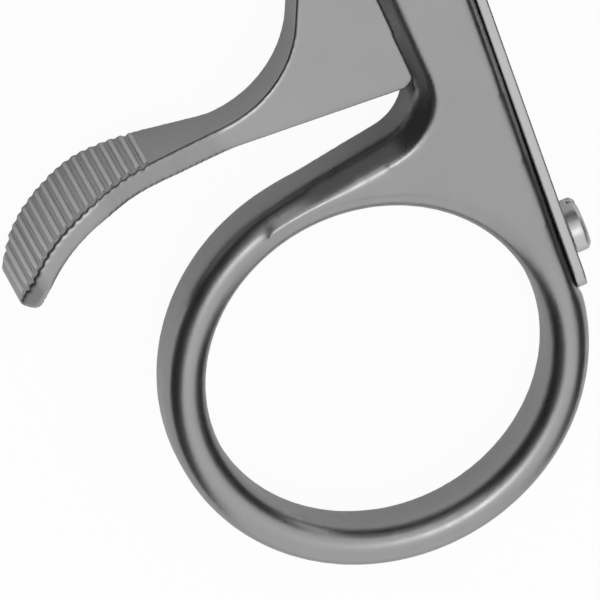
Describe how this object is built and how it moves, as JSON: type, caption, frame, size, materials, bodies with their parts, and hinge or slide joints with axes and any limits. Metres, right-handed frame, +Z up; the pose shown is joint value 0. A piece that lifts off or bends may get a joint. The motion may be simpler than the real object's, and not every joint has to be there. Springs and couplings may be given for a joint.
{
  "type": "self retaining retractor",
  "caption": "Surgical retractor with finger rings, cam ratchet, spring-loaded release lever and hinged pronged blades that spread and hold tissue.",
  "frame": {"origin": "on the pivot's axis, in the flat underside of the joint, which is the resting plane", "axes": "+Y from the finger rings to the blades, +Z up out of the front face where the prongs point, +X towards the arm with the release lever"},
  "size_m": [0.1253, 0.1917, 0.02],
  "materials": {
    "satin_steel": "satin ground stainless steel with softened edges",
    "spring_steel": "satin stainless spring strip, a little brighter",
    "polished_steel": "turned stainless steel, finely polished"
  },
  "bodies": {
    "lever_arm": {"lever_arm": "satin_steel", "pivot_screw": "polished_steel", "lever_pin": "polished_steel", "leaf_spring": "spring_steel", "spring_screw": "polished_steel"},
    "rack_arm": {"rack_arm": "satin_steel", "ratchet_rack": "satin_steel", "rack_pin": "polished_steel", "rack_stop_pin": "polished_steel"},
    "release_lever": {"release_lever": "satin_steel"},
    "right_blade": {"right_blade": "satin_steel", "right_hinge_screw": "polished_steel"},
    "left_blade": {"left_blade": "satin_steel", "left_hinge_screw": "polished_steel"}
  },
  "joints": [
    {"name": "main_pivot", "type": "hinge", "parent": "lever_arm", "child": "rack_arm", "pos_m": [0, 0, 0.00435], "axis": [0, 0, 1], "range_deg": [0, 34]},
    {"name": "release_lever_pivot", "type": "hinge", "parent": "lever_arm", "child": "release_lever", "pos_m": [0.04249, -0.0446, 0.00435], "axis": [0, 0, 1], "range_deg": [-7.4, 3], "stiffness_Nm_per_rad": 0.08, "deforming": ["leaf_spring"]},
    {"name": "right_blade_hinge", "type": "hinge", "parent": "lever_arm", "child": "right_blade", "pos_m": [0.0044, 0.039, 0.00435], "axis": [1, 0, 0], "range_deg": [0, 90]},
    {"name": "left_blade_hinge", "type": "hinge", "parent": "rack_arm", "child": "left_blade", "pos_m": [-0.0044, 0.039, 0.00435], "axis": [1, 0, 0], "range_deg": [0, 90]}
  ]
}
